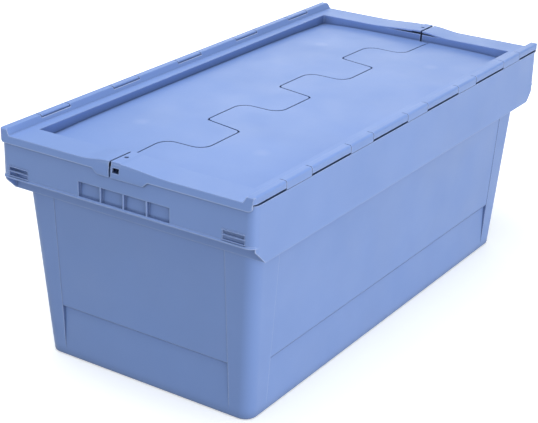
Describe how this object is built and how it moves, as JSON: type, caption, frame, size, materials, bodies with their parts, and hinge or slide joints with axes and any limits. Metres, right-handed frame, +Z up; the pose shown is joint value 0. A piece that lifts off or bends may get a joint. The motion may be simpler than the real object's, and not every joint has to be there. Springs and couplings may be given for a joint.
{
  "type": "nesting container with attached lid",
  "caption": "Rectangular plastic storage container with tapered walls, a deep rim band with grip pockets and a hinged lid in two interlocking halves.",
  "frame": {"origin": "middle of the base, on the face it stands on", "axes": "+X along the long side, +Y along the short side, +Z up; the hinges run along X"},
  "size_m": [0.796, 0.4, 0.334],
  "materials": {
    "blue_plastic": "satin",
    "lid_plastic": "satin",
    "rod_steel": "drawn"
  },
  "bodies": {
    "container": {"container_tub": "blue_plastic", "container_rim": "blue_plastic", "hinge_rod_near": "rod_steel", "hinge_rod_far": "rod_steel"},
    "lid_near": {"lid_half_near": "lid_plastic"},
    "lid_far": {"lid_half_far": "lid_plastic"}
  },
  "joints": [
    {"name": "near_lid_hinge", "type": "hinge", "parent": "container", "child": "lid_near", "pos_m": [0, -0.1966, 0.3306], "axis": [1, 0, 0], "range_deg": [0, 240]},
    {"name": "far_lid_hinge", "type": "hinge", "parent": "container", "child": "lid_far", "pos_m": [0, 0.1966, 0.3306], "axis": [-1, 0, 0], "range_deg": [0, 240]}
  ]
}
